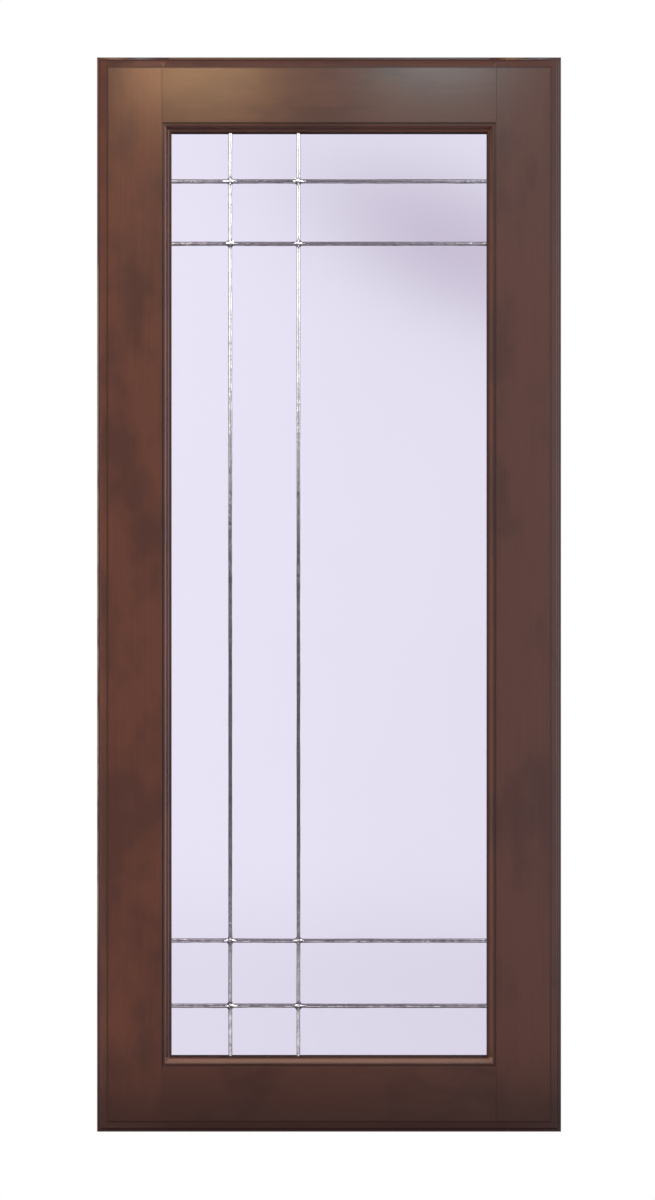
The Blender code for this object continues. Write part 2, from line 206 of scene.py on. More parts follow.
class WoodSettings(bpy.types.PropertyGroup):
    """Colours and gloss of the stained and lacquered wood, and the colours of its painted highlights
    and painted shade.
    """

    stain: ColourProperty(
        name="Stain", description="Main colour of the stained wood", default=(0.1, 0.04, 0.028, 1)
    )
    rust: ColourProperty(
        name="Rust", description="Colour of the lighter and redder patches",
        default=(0.145, 0.053, 0.033, 1),
    )
    # Shade is also the colour of the painted shade in the quirks, along the top edge and beside the
    # glass
    shade: ColourProperty(
        name="Shade", description="Colour of the darker figure and of stain left in the quirks",
        default=(0.055, 0.023, 0.017, 1),
    )
    # Painted highlight: a pale colour laid along the left arris, standing in for the light it catches
    # from the left
    painted_highlight: ColourProperty(
        name="Arris highlight", description="Colour of the bare wood along the worn arris",
        default=(0.36, 0.28, 0.21, 1),
    )
    # Painted shade: a darker colour at the foot of the door, standing in for the light falling off
    # there
    foot: ColourProperty(
        name="Foot", description="Colour of the darker stain at the foot of the door",
        default=(0.042, 0.019, 0.014, 1),
    )
    # Painted highlight: a copper colour along the bottom sticking's crest, standing in for the light
    # from above that it catches
    crest_highlight: ColourProperty(
        name="Copper", description="Colour of the rubbed crest along the bottom rail",
        default=(0.34, 0.17, 0.11, 1),
    )
    roughness: ShareProperty(
        name="Roughness", description="Roughness of the stained wood under its lacquer", default=0.4
    )
    sheen_level: ShareProperty(
        name="Specular level", description="Strength of the stained wood's own gloss under its lacquer",
        default=0.4,
    )
    lacquer: ShareProperty(name="Lacquer", description="Weight of the satin lacquer", default=0.6)
    lacquer_roughness: ShareProperty(
        name="Lacquer roughness", description="Roughness of the satin lacquer", default=0.18
    )


class MouldingSettings(bpy.types.PropertyGroup):
    """Sizes of the outer moulding and of the sticking round the glass."""

    edge_width: LengthProperty(
        name="Edge width", description="Width of the moulding round the outer edge", default=0.0095
    )
    edge_step: LengthProperty(
        name="Edge step", description="Drop from the face to the outer moulding", default=0.0012
    )
    edge_ledge: LengthProperty(
        name="Edge ledge", description="Flat between the step and the crown", default=0.0008
    )
    crown_tilt: FloatVectorProperty(
        name="Crown tilt",
        description="Slope of the outer moulding's crown, beside the face and beside its round",
        unit="ROTATION", size=2, default=(math.radians(8), math.radians(16)),
    )
    crown_round: LengthProperty(
        name="Crown round", description="Radius of the crown's outer end", default=0.0014
    )
    cove_radius: LengthProperty(
        name="Cove radius", description="Radius of the cove under the crown", default=0.0014
    )
    edge_lip: LengthProperty(name="Edge lip", description="Flat lip outside the cove", default=0.001)
    edge_round: LengthProperty(
        name="Edge round", description="Radius of the outermost arris", default=0.0006
    )
    sticking_width: LengthProperty(
        name="Sticking width", description="Width of the moulding round the glass", default=0.0073
    )
    sticking_step: LengthProperty(
        name="Sticking step", description="Drop from the face to the sticking", default=0.0013
    )
    quirk_width: LengthProperty(
        name="Quirk width", description="Width of the quirk between the face and the sticking",
        default=0.0009,
    )
    quirk_depth: LengthProperty(
        name="Quirk depth", description="Depth of the quirk below the sticking's crest", default=0.0006
    )
    ogee_drop: LengthProperty(name="Ogee drop", description="Height of the ogee", default=0.0039)
    shelf_width: LengthProperty(
        name="Shelf width", description="Width of the shelf next to the glass", default=0.0006
    )
    seat_depth: LengthProperty(
        name="Seat depth", description="From the face to the rebate's floor", default=0.0085
    )
    rebate_width: LengthProperty(
        name="Rebate width", description="Width of the rebate behind the lip", default=0.008
    )
    face_arris: LengthProperty(
        name="Face arris", description="Radius of the eased arrises where the face ends", default=0.0004
    )
    shelf_arris: LengthProperty(
        name="Shelf arris", description="Radius of the eased arris next to the glass", default=0.0003
    )
    back_arris: LengthProperty(
        name="Back arris", description="Radius of the eased arris at the back", default=0.0008
    )
    joint_gap: LengthProperty(
        name="Joint gap", description="Gap left in the joints between stiles and rails", default=0.00004
    )
    bead_round: LengthProperty(
        name="Bead round", description="Radius of the glazing beads' inner arris", default=0.002
    )


class LeadingSettings(bpy.types.PropertyGroup):
    """Sizes and colours of the cames and the solder."""

    heart: LengthProperty(name="Heart", description="Thickness of a came's heart", default=0.001)
    leaf_edge: LengthProperty(
        name="Leaf edge", description="Thickness of a came's leaf at its edge", default=0.0004
    )
    crown: LengthProperty(
        name="Crown", description="Thickness of a came's leaf at its middle", default=0.0009
    )
    step: LengthProperty(name="Step", description="Length of one facet along a came", default=0.0012)
    wander: LengthProperty(
        name="Wander", description="How far a came strays from its straight line", default=0.00025
    )
    swell: ShareProperty(
        name="Swell", description="How much a came's width varies, as a share of it", default=0.1
    )
    ripple: LengthProperty(
        name="Ripple", description="Height of the ripples in the tinned face", default=0.00006
    )
    solder_reach: LengthProperty(
        name="Solder reach", description="How far the solder runs out along the cames", default=0.009
    )
    solder_point: FloatProperty(
        name="Solder point",
        description="How hollow the sides of the solder are: 1 is straight, less is hollow",
        min=0.2,
        max=2,
        default=0.5,
    )
    solder_film: LengthProperty(
        name="Solder film", description="Thickness of the solder over the cames", default=0.0004
    )
    tin: ColourProperty(
        name="Tin", description="Colour of the bright tinned metal", default=(0.8, 0.79, 0.81, 1)
    )
    patina: ColourProperty(
        name="Patina", description="Colour of the dulled metal", default=(0.265, 0.22, 0.288, 1)
    )


class GlassSettings(bpy.types.PropertyGroup):
    """Tint and refraction of the glass."""

    tint: ColourProperty(
        name="Tint", description="Tint of the clear glass", default=(0.845, 0.813, 0.963, 1)
    )
    ior: FloatProperty(name="IOR", description="Index of refraction", min=1, max=2, default=1.5)


class StageSettings(bpy.types.PropertyGroup):
    """Camera, floor and lights."""

    camera_distance: LengthProperty(
        name="Camera distance", description="From the camera to the door's face", default=3.0
    )
    view_height: LengthProperty(
        name="View height", description="Height of the view at the door's face", default=1.0225
    )
    view_right: LengthProperty(
        name="View right", description="How far the view's middle lies right of the door's middle",
        default=-0.00133,
    )
    view_up: LengthProperty(
        name="View up", description="How far the view's middle lies above the door's middle",
        default=-0.00465,
    )
    floor_drop: LengthProperty(
        name="Floor drop", description="How far the floor lies below the door", default=0.44
    )
    floor_radius: LengthProperty(name="Floor radius", description="Radius of the floor", default=1.3)
    floor_colour: ColourProperty(
        name="Floor colour", description="Pale colour of the floor", default=(0.8, 0.8, 0.79, 1)
    )
    room: ColourProperty(
        name="Room", description="Dim light that comes from all round",
        max=10, default=(0.1, 0.087, 0.105, 1),
    )


class GlazedDoorSettings(bpy.types.PropertyGroup):
    """All settings of the door."""

    wood: PointerProperty(type=WoodSettings)
    moulding: PointerProperty(type=MouldingSettings)
    leading: PointerProperty(type=LeadingSettings)
    glass: PointerProperty(type=GlassSettings)
    stage: PointerProperty(type=StageSettings)


def settings():
    return bpy.context.scene.glazed_door


# Node helpers

# A colour mix's sockets, which share their names with those for other kinds of value
FIRST_COLOUR = 6
SECOND_COLOUR = 7
MIXED_COLOUR = 2


class Wiring:
    """Adds nodes to one tree and links them."""

    def __init__(self, tree):
        self.tree = tree

    def feed(self, socket, value):
        if isinstance(value, bpy.types.NodeSocket):
            self.tree.links.new(value, socket)
        else:
            socket.default_value = value

    def add(self, kind, inputs=(), **values):
        node = self.tree.nodes.new(kind)
        for name, value in values.items():
            setattr(node, name, value)
        for key, value in dict(inputs).items():
            self.feed(node.inputs[key], value)
        return node

    def feed_all(self, node, **values):
        """Feeds a node's sockets, named with underscores for their spaces."""
        for name, value in values.items():
            self.feed(node.inputs[name.replace("_", " ")], value)

    def math(self, operation, *values):
        node = self.add("ShaderNodeMath", operation=operation)
        for socket, value in zip(node.inputs, values):
            self.feed(socket, value)
        return node.outputs["Value"]

    def times(self, first, second):
        return self.math("MULTIPLY", first, second)

    def larger(self, first, second):
        return self.math("MAXIMUM", first, second)

    def object_place(self):
        return self.add("ShaderNodeTexCoord").outputs["Object"]

    def noise(self, place, scales, detail, roughness=0.5):
        """Noise with its own scale along each axis, in patches to the metre."""
        stretched = self.stretch(place, scales)
        inputs = {"Vector": stretched, "Scale": 1, "Detail": detail, "Roughness": roughness}
        return self.add("ShaderNodeTexNoise", inputs).outputs["Fac"]

    def bump(self, height, strength, distance):
        inputs = {"Height": height, "Strength": strength, "Distance": distance}
        return self.add("ShaderNodeBump", inputs).outputs["Normal"]

    def group(self, tree, place):
        return self.add("ShaderNodeGroup", {"Place": place}, node_tree=tree)

    def stretch(self, place, scale, turn=(0, 0, 0), shift=(0, 0, 0)):
        inputs = {"Vector": place, "Location": shift, "Rotation": turn, "Scale": scale}
        return self.add("ShaderNodeMapping", inputs).outputs["Vector"]

    def span(self, value, low, high, to_low=0.0, to_high=1.0, smooth=False):
        """Brings a value that runs from low to high to the range between the other two."""
        node = self.add("ShaderNodeMapRange", interpolation_type="SMOOTHSTEP" if smooth else "LINEAR")
        self.feed_all(node, Value=value, From_Min=low, From_Max=high, To_Min=to_low, To_Max=to_high)
        return node.outputs["Result"]

    def mix(self, factor, first, second, blend="MIX"):
        inputs = {"Factor": factor, FIRST_COLOUR: first, SECOND_COLOUR: second}
        node = self.add("ShaderNodeMix", inputs, data_type="RGBA", blend_type=blend)
        return node.outputs[MIXED_COLOUR]


def shared_group(name, inputs, outputs, fill, *values):
    """The node group of this name, which fill wires up when it is first asked for."""
    found = bpy.data.node_groups.get(name)
    if found:
        return found
    group = bpy.data.node_groups.new(name, "ShaderNodeTree")
    for way, sockets in (("INPUT", inputs), ("OUTPUT", outputs)):
        for label, kind in sockets.items():
            group.interface.new_socket(name=label, in_out=way, socket_type="NodeSocket" + kind)
    net = Wiring(group)
    fill(net, net.add("NodeGroupInput").outputs, net.add("NodeGroupOutput"), *values)
    return group


def new_material(name, constants):
    """A material with one Principled shader, whose plain values are set here."""
    material = bpy.data.materials.new(name)
    material.use_nodes = True
    shader = material.node_tree.nodes["Principled BSDF"]
    for key, value in constants.items():
        shader.inputs[key].default_value = value
    return material, Wiring(material.node_tree), shader


# Effects that several materials share


def fill_grain(net, given, end):
    place = given["Place"]
    figure = net.noise(place, FIGURE_PATCHES, 3, 0.55)
    streaks = net.noise(place, STREAK_PATCHES, 3, 0.6)
    flecks = net.noise(place, FLECK_PATCHES, 1)
    net.feed_all(
        end,
        Figure=net.span(figure, 0.32, 0.68, smooth=True),
        Streaks=net.span(streaks, 0.3, 0.7),
        Flecks=net.span(flecks, 0.6, 0.72),
    )


def grain_group():
    """Figure, streaks and flecks of close-grained wood, whose grain runs along Z."""
    outputs = dict.fromkeys(("Figure", "Streaks", "Flecks"), "Float")
    return shared_group("Close grain", {"Place": "Vector"}, outputs, fill_grain)


def fill_stain_and_light(net, given, end, moulding):
    place = given["Place"]
    parts = net.add("ShaderNodeSeparateXYZ", {"Vector": place})
    x, y, z = (parts.outputs[axis] for axis in "XYZ")

    def away(socket, middle):
        return net.math("ABSOLUTE", net.math("SUBTRACT", socket, middle))

    def line(distance, at, softness):
        return net.span(away(distance, at), softness, 0.0, smooth=True)

    from_side = net.math("SUBTRACT", (DOOR_RIGHT - DOOR_LEFT) / 2, away(x, CENTRE_X))
    from_end = net.math("SUBTRACT", (DOOR_TOP - DOOR_BOTTOM) / 2, away(z, CENTRE_Z))
    inward = net.math("MINIMUM", from_side, from_end)
    past_side = net.math("SUBTRACT", away(x, CENTRE_X), (SIGHT_RIGHT - SIGHT_LEFT) / 2)
    past_end = net.math("SUBTRACT", away(z, CENTRE_Z), (SIGHT_TOP - SIGHT_BOTTOM) / 2)
    outward = net.larger(past_side, past_end)
    # Stain left in the quirks, deepened into painted shade where the recesses lie in shade
    step = line(inward, moulding.edge_width - moulding.edge_ledge / 2, 0.0016)
    cove = line(inward, moulding.edge_round + moulding.edge_lip + moulding.cove_radius / 2, 0.0013)
    glass_quirk = line(outward, moulding.sticking_width - moulding.quirk_width / 2, 0.0014)
    quirk = net.larger(net.larger(step, cove), glass_quirk)
    front = net.span(y, *(FACE_Y + depth for depth in FRONT_FADE))
    # Painted shade along the top edge
    top_edge_shade = net.span(z, *(DOOR_TOP - drop for drop in TOP_EDGE_SHADE_FADE), smooth=True)
    # Painted highlight along the crest of the bottom rail's sticking
    low = net.math("LESS_THAN", z, SIGHT_BOTTOM)
    crest = net.times(line(outward, moulding.sticking_width * 0.4, 0.0024), low)

    # Painted highlight along the left arris, at middle heights, broken up by noise
    arris_highlight_noise = net.span(net.noise(place, ARRIS_HIGHLIGHT_PATCHES, 3, 0.6), 0.32, 0.5)
    left_edge = net.span(x, *(DOOR_LEFT + inset for inset in ARRIS_HIGHLIGHT_EDGE))
    painted_highlight_part = net.span(away(z, CENTRE_Z), *ARRIS_HIGHLIGHT_HEIGHTS, smooth=True)
    painted_highlight = net.times(net.times(left_edge, painted_highlight_part), front)
    net.feed_all(
        end,
        # Quirk holds the quirks' stain and painted shade, and the top edge's painted shade
        Quirk=net.times(net.larger(quirk, top_edge_shade), front),
        Crest=net.times(crest, front),
        # Lacquer also carries the painted shade on the wood next to the glass
        Lacquer=net.span(outward, *LACQUER_FADE),
        Arris=net.times(painted_highlight, arris_highlight_noise),
        # Painted shade, darker towards the foot of the door
        Foot=net.span(z, DOOR_BOTTOM + FOOT_HEIGHT, DOOR_BOTTOM, smooth=True),
    )


def stain_and_light_group(moulding):
    """Masks of stain with painted shade in the quirks and at the top edge, painted highlights on the
    left arris and bottom crest, painted shade at the foot, and the lacquer.
    """
    outputs = dict.fromkeys(("Quirk", "Arris", "Crest", "Foot", "Lacquer"), "Float")
    return shared_group("Stain and painted light", {"Place": "Vector"}, outputs, fill_stain_and_light, moulding)


def fill_tinned(net, given, end):
    place = given["Place"]
    clouds = net.noise(place, TIN_CLOUDS, 3, 0.6)
    specks = net.noise(place, TIN_SPECKS, 2, 0.6)
    dull = net.times(net.span(clouds, 0.35, 0.7), given["Dullness"])
    net.feed_all(
        end,
        Color=net.mix(dull, given["Bright"], given["Dull"]),
        Roughness=net.span(clouds, 0.3, 0.7, 0.1, 0.24),
        Ripple=net.math("ADD", clouds, net.times(specks, 0.3)),
    )


def tinned_group():
    """Colour, roughness and ripple of hand-tinned metal."""
    inputs = {"Place": "Vector", "Bright": "Color", "Dull": "Color", "Dullness": "Float"}
    outputs = {"Color": "Color", "Roughness": "Float", "Ripple": "Float"}
    return shared_group("Hand-tinned metal", inputs, outputs, fill_tinned)


# Materials


def wood_material(board):
    """Stained and lacquered wood, its grain along Z or, where the board lies across, along X, with
    painted highlights and painted shade.
    """
    across, shift, shadiness, redness = BOARDS[board]
    door = settings()
    wood = door.wood
    gloss = {"Specular IOR Level": wood.sheen_level, "Coat Roughness": wood.lacquer_roughness}
    material, net, shader = new_material("Stained wood, " + board, gloss)
    place = net.object_place()
    turn = (0, math.radians(90), 0) if across else (0, 0, 0)
    grain = net.group(grain_group(), net.stretch(place, (1, 1, 1), turn, shift)).outputs
    stain_and_light = net.group(stain_and_light_group(door.moulding), place).outputs

    figure = grain["Figure"]
    # Painted highlights along the bottom crest and the left arris
    crest = net.times(stain_and_light["Crest"], PAINTED_HIGHLIGHT_COVER)
    painted_highlight = net.larger(crest, net.times(stain_and_light["Arris"], PAINTED_HIGHLIGHT_COVER))
    layers = (
        (net.span(figure, 0.2, 0.9, 0.0, redness), wood.rust),
        (net.span(figure, 0.5, 0.0, 0.0, shadiness), wood.shade),
        (net.span(grain["Streaks"], 0.0, 1.0, STREAK_COVER, 0.0), wood.shade),
        (net.times(grain["Flecks"], FLECK_COVER), wood.shade),
        # Stain in the quirks, with painted shade there and along the top edge
        (net.times(stain_and_light["Quirk"], STAIN_AND_SHADE_COVER), wood.shade),
        # Painted shade at the foot of the door
        (net.times(stain_and_light["Foot"], STAIN_AND_SHADE_COVER), wood.foot),
        # Painted highlights: pale on the left arris, copper on the bottom crest
        (painted_highlight, net.mix(stain_and_light["Crest"], wood.painted_highlight, wood.crest_highlight)),
        # Painted shade on the wood next to the glass, where the lacquer stops
        (net.span(stain_and_light["Lacquer"], 0.0, 1.0, GLASS_EDGE_SHADE, 0.0), wood.shade),
    )
    colour = wood.stain
    for mask, over in layers:
        colour = net.mix(mask, colour, over)
    rougher = wood.roughness + ROUGHNESS_SPREAD
    smoother = wood.roughness - ROUGHNESS_SPREAD
    rough = net.span(grain["Streaks"], 0.0, 1.0, rougher, smoother)
    bare = net.span(stain_and_light["Lacquer"], 0.0, 1.0, BARE_ROUGHNESS, 0.0)
    relief = net.math("SUBTRACT", grain["Streaks"], grain["Flecks"])
    net.feed_all(
        shader,
        Base_Color=colour,
        Coat_Weight=net.times(stain_and_light["Lacquer"], wood.lacquer),
        Roughness=net.math("ADD", rough, bare),
        Normal=net.bump(relief, *GRAIN_BUMP),
    )
    return material


def metal_material(name, dullness):
    """Tinned metal for cames and solder, dulled by this share."""
    leading = settings().leading
    material, net, shader = new_material(name, {"Metallic": 1.0})
    tinned = net.group(tinned_group(), net.object_place())
    net.feed_all(tinned, Bright=leading.tin, Dull=leading.patina, Dullness=dullness)
    made = tinned.outputs
    normal = net.bump(made["Ripple"], *TIN_BUMP)
    net.feed_all(shader, Base_Color=made["Color"], Roughness=made["Roughness"], Normal=normal)
    return material


def glass_material():
    """Clear glass with a faint tint and the slight waviness of a drawn sheet."""
    glass = settings().glass
    constants = {"Metallic": 0.0, "Transmission Weight": 1.0, "IOR": glass.ior}
    material, net, shader = new_material("Clear glass pane", constants)
    place = net.object_place()
    clouds = net.noise(place, GLASS_WAVES, 2)
    specks = net.noise(place, GLASS_HAZE, 2)
    shade = net.span(clouds, 0.3, 0.7, 0.985, 1.0)
    level = net.add("ShaderNodeCombineColor", {"Red": shade, "Green": shade, "Blue": shade})
    net.feed_all(
        shader,
        Base_Color=net.mix(1.0, glass.tint, level.outputs["Color"], "MULTIPLY"),
        Roughness=net.span(specks, 0.4, 0.8, 0.0, 0.02),
        Normal=net.bump(clouds, *GLASS_BUMP),
    )
    return material


# Outlines, as (across, depth) points


def arc(centre, radius, start, end, steps=ARRIS_STEPS, rise=None):
    """Points on an arc from one angle to another in degrees, both ends included.

    With rise, its radius in depth, it is an arc of an ellipse.
    """
    points = []
    for step in range(steps + 1):
        angle = math.radians(start + (end - start) * step / steps)
        across = centre[0] + radius * math.cos(angle)
        depth = centre[1] + (rise or radius) * math.sin(angle)
        points.append((across, depth))
    return points


def edge_outline(moulding):
    """The outer moulding, from the outer edge up to the face, with eased arrises."""
    edge_round = moulding.edge_round
    cove_radius = moulding.cove_radius
    crown_round = moulding.crown_round
    cove_end = edge_round + moulding.edge_lip + cove_radius
    crown_end = moulding.edge_width - moulding.edge_ledge
    near, far = (270 - math.degrees(tilt) for tilt in moulding.crown_tilt)
    near_sine, far_sine = (math.sin(tilt) for tilt in moulding.crown_tilt)
    near_cosine, far_cosine = (math.cos(tilt) for tilt in moulding.crown_tilt)
    run = crown_end - cove_end - crown_round * (1 - far_sine)
    radius = run / (far_sine - near_sine)
    crown = (crown_end + radius * near_sine, moulding.edge_step + radius * near_cosine)
    foot = moulding.edge_step + radius * (near_cosine - far_cosine)
    shoulder = (cove_end + crown_round, foot + crown_round * far_cosine)
    cove_bottom = shoulder[1] + cove_radius
    arris = moulding.face_arris
    return (
        arc((edge_round, cove_bottom + edge_round), edge_round, 180, 270, COVE_STEPS)
        + arc((cove_end - cove_radius, shoulder[1]), cove_radius, 90, 0, COVE_STEPS)
        + arc(shoulder, crown_round, 180, far, CROWN_STEPS)[1:]
        + arc(crown, radius, far, near)[1:]
        + [(moulding.edge_width, moulding.edge_step)]
        + arc((moulding.edge_width + arris, arris), arris, 180, 270)
    )


def ogee_outline(moulding, width, grow=0.0):
    """The sticking from its crest inwards: the ogee, the shelf, the lip and the seat.

    With grow, the outline moves out of the wood by that much, for the cut of a coped end.
    """
    step = moulding.sticking_step
    crest = width - moulding.sticking_width + moulding.quirk_width + moulding.quirk_depth
    run = width - moulding.shelf_width - crest
    sweep = 2 * math.atan2(moulding.ogee_drop, run)
    radius = run / 2 / math.sin(sweep)
    turn = math.degrees(sweep)
    shelf_depth = step + moulding.ogee_drop
    eased = moulding.shelf_arris
    shelf = (width - eased, shelf_depth + eased)
    hollow = (crest + run, shelf_depth - radius)
    seat = moulding.seat_depth + grow
    return (
        arc((crest, step + radius), radius + grow, 270, 270 + turn, CURVE_STEPS)
        + arc(hollow, radius - grow, 90 + turn, 90, CURVE_STEPS)[1:]
        + arc(shelf, eased + grow, 270, 360, SHELF_STEPS)
        + [(width + grow, seat), (width - moulding.rebate_width + grow, seat)]
    )


def sticking_outline(moulding, width):
    """The inner moulding of a member this wide, from the face down to the rebate's wall."""
    face_end = width - moulding.sticking_width
    crest = moulding.quirk_depth
    floor = moulding.sticking_step + crest
    arris = moulding.face_arris
    middle = (face_end + moulding.quirk_width + crest, floor)
    return (
        arc((face_end - arris, arris), arris, 270, 360)
        + [(face_end, floor)]
        + arc(middle, crest, 180, 270)[:-1]
        + ogee_outline(moulding, width)
    )


def back_outline(moulding):
    """The eased arris between the back and the outer edge."""
    arris = moulding.back_arris
    return arc((arris, DOOR_THICKNESS - arris), arris, 90, 180)


def member_outline(moulding, width):
    """The whole section of a stile or a rail."""
    front = edge_outline(moulding) + sticking_outline(moulding, width)
    return front + [(width - moulding.rebate_width, DOOR_THICKNESS)] + back_outline(moulding)


def end_waste_outline(moulding):
    """What the outer moulding takes off a stile's end, and all that is past it."""
    face_end = moulding.edge_width + moulding.face_arris
    outside = [(face_end, SHORT), (SHORT, SHORT), (SHORT, PAST), (moulding.back_arris, PAST)]
    return outside + back_outline(moulding) + edge_outline(moulding)


def cope_outline(moulding):
    """What a rail's end loses so that it fits over a stile, whose quirk stays open."""
    gap = moulding.joint_gap
    wall = STILE_WIDTH - moulding.rebate_width + gap
    over = STILE_WIDTH - moulding.sticking_width + gap
    outside = [(wall, PAST), (SHORT, PAST), (SHORT, SHORT)]
    face = [(over, SHORT), (over, moulding.sticking_step - gap)]
    return face + ogee_outline(moulding, STILE_WIDTH, gap) + outside


def bead_outline(moulding, width, depth):
    """A glazing bead, from the rebate's wall towards the glass, rounded at the back."""
    radius = moulding.bead_round
    eased = moulding.shelf_arris
    return (
        [(0, 0)]
        + arc((width - eased, eased), eased, 270, 360, LEAF_STEPS)
        + arc((width - radius, depth - radius), radius, 0, 90, BEAD_STEPS)
        + [(0, depth)]
    )


def came_outline(leading, face, thickness):
    """An H section with crowned leaves, centred on the glass."""
    half_face = face / 2
    half_heart = leading.heart / 2
    half_channel = thickness / 2 - leading.crown
    leaf_edge = half_channel + leading.leaf_edge
    rise = leading.crown - leading.leaf_edge
    front = arc((0, -leaf_edge), half_face, 180, 360, CURVE_STEPS, rise)
    back = arc((0, leaf_edge), half_face, 0, 180, CURVE_STEPS, rise)
    right_channel = [
        (half_face, -half_channel),
        (half_heart, -half_channel),
        (half_heart, half_channel),
        (half_face, half_channel),
    ]
    left_channel = [(-across, -depth) for across, depth in right_channel]
    return front + right_channel + back + left_channel


def border_came_outline(leading, face, thickness):
    """A U section, from the panel's outer edge towards its middle."""
    half = thickness / 2
    half_channel = half - leading.crown
    eased = leading.leaf_edge / 2
    return (
        [(0, -half)]
        + arc((face - eased, -half + eased), eased, 270, 360, LEAF_STEPS)
        + [(face, -half_channel), (leading.heart, -half_channel)]
        + [(leading.heart, half_channel), (face, half_channel)]
        + arc((face - eased, half - eased), eased, 0, 90, LEAF_STEPS)
        + [(0, half)]
    )


# Making pieces


def bar(outline, length):
    """A bar with this outline, centred along Z."""
    work = bmesh.new()
    ring = [work.verts.new((across, depth, -length / 2)) for across, depth in outline]
    grown = bmesh.ops.extrude_face_region(work, geom=[work.faces.new(ring)])
    moved = [item for item in grown["geom"] if isinstance(item, bmesh.types.BMVert)]
    bmesh.ops.translate(work, verts=moved, vec=(0, 0, length))
    bmesh.ops.recalc_face_normals(work, faces=work.faces)
    return work


def cut_across(work, length, step):
    """Cuts a bar into facets about this long."""
    edges = [edge for edge in work.edges if abs(edge.verts[0].co.z - edge.verts[1].co.z) > step]
    cuts = max(1, round(length / step) - 1)
    bmesh.ops.subdivide_edges(work, edges=edges, cuts=cuts, use_grid_fill=True)


def mitre(work):
    """Slopes both ends of a bar at 45 degrees, so that it gets shorter towards the glass."""
    for vertex in work.verts:
        vertex.co.z -= math.copysign(vertex.co.x, vertex.co.z)


def stand(work, side, x, y, z):
    """Turns a bar to one side of the door and puts its outline's zero at this place."""
    turn = Matrix.Rotation(math.radians(TURNS[side]), 4, "Y")
    bmesh.ops.transform(work, matrix=Matrix.Translation((x, y, z)) @ turn, verts=work.verts)
    return work


def box_span(box, side):
    """A bar's place at one side of a box: its outer edge's spot, its width and its length."""
    low, high = box
    size = high - low
    middle = (low + high) / 2
    if side in ("left", "right"):
        return (low.x if side == "left" else high.x, middle.z), size.x, size.z
    return (middle.x, low.z if side == "bottom" else high.z), size.z, size.x


def member_bar(outline, length, side):
    (x, z), *_ = box_span(DOOR_BOX, side)
    return stand(bar(outline, length), side, x, FACE_Y, z)


def collection():
    """The collection that holds the finished pieces."""
    name = "Glazed door finish"
    found = bpy.data.collections.get(name)
    if not found:
        found = bpy.data.collections.new(name)
        bpy.context.scene.collection.children.link(found)
    return found


def to_mesh(work, name):
    mesh = bpy.data.meshes.new(name)
    work.to_mesh(mesh)
    work.free()
    return mesh


def cut_away(work, cutters):
    """Takes the cutters' shapes out of a bar, and gives back the mesh that is left."""
    blank = bpy.data.objects.new("blank", to_mesh(work, "blank"))
    tools = [bpy.data.objects.new("cutter", to_mesh(cutter, "cutter")) for cutter in cutters]
    for obj in [blank, *tools]:
        bpy.context.scene.collection.objects.link(obj)
    for tool in tools:
        modifier = blank.modifiers.new("Cut", "BOOLEAN")
        modifier.operation = "DIFFERENCE"
        modifier.solver = "EXACT"
        modifier.object = tool
    graph = bpy.context.evaluated_depsgraph_get()
    mesh = bpy.data.meshes.new_from_object(blank.evaluated_get(graph))
    for obj in [blank, *tools]:
        bpy.data.objects.remove(obj)
    return mesh


def add_piece(name, mesh, material, slot, *nodes):
    """Puts a finished piece in the scene, over the nodes that it stands for."""
    if not mesh.polygons:
        raise RuntimeError(name + " has no faces")
    mesh.name = name
    mesh.materials.clear()
    mesh.materials.append(material)
    mesh.shade_smooth()
    mesh.set_sharp_from_angle(angle=SHARP_ANGLE)
    piece = bpy.data.objects.new(name, mesh)
    collection().objects.link(piece)
    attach(piece, "root")
    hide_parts(*nodes)
    wooden = slot in ("frame_wood", "bead_wood")
    lit_group("Wooden pieces" if wooden else "Leaded pieces").objects.link(piece)
    if slot == "solder":
        lit_group("Soldered crossings").objects.link(piece)
    if wooden:
        keep_flats_flat(piece)


def keep_flats_flat(piece):
    """Weights the shading by area, so that an eased arris doesn't shade the face beside it."""
    modifier = piece.modifiers.new("Flat faces", "WEIGHTED_NORMAL")
    modifier.mode = "FACE_AREA"
    modifier.weight = 100
    modifier.keep_sharp = True


# The wooden frame


def make_member(kind, side, blank, cutter, cutter_length, ends, material):
    """A stile or a rail: a moulded blank, cut at both ends by the same cutter."""
    cutters = [member_bar(cutter, cutter_length, end) for end in ends]
    mesh = cut_away(blank, cutters)
    add_piece(f"{kind}_{side}_finished", mesh, material, "frame_wood", f"{side}_{kind}")


def make_stile(side, material):
    """A full-height stile, with the outer moulding run round its ends as well."""
    moulding = settings().moulding
    length = DOOR_RIGHT - DOOR_LEFT + 2 * CUTTER_EXTRA
    height = DOOR_TOP - DOOR_BOTTOM + CUTTER_EXTRA
    blank = member_bar(member_outline(moulding, STILE_WIDTH), height, side)
    waste = end_waste_outline(moulding)
    make_member("stile", side, blank, waste, length, ("top", "bottom"), material)


def make_rail(side, material):
    """A rail between the stiles, its ends coped over the stiles' moulding."""
    moulding = settings().moulding
    length = DOOR_TOP - DOOR_BOTTOM + 2 * CUTTER_EXTRA
    width = DOOR_RIGHT - DOOR_LEFT - STILE_WIDTH
    blank = member_bar(member_outline(moulding, RAIL_WIDTH), width, side)
    cope = cope_outline(moulding)
    make_member("rail", side, blank, cope, length, ("left", "right"), material)


def make_bead(side, material):
    """A mitred glazing bead, flush with the back of the frame."""
    moulding = settings().moulding
    node = side + "_glazing_bead"
    low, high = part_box(node)
    spot, width, length = box_span((low, high), side)
    work = bar(bead_outline(moulding, width, high.y - low.y), length)
    mitre(work)
    stand(work, side, spot[0], low.y, spot[1])
    add_piece(f"bead_{side}_finished", to_mesh(work, node), material, "bead_wood", node)


# The leaded panel


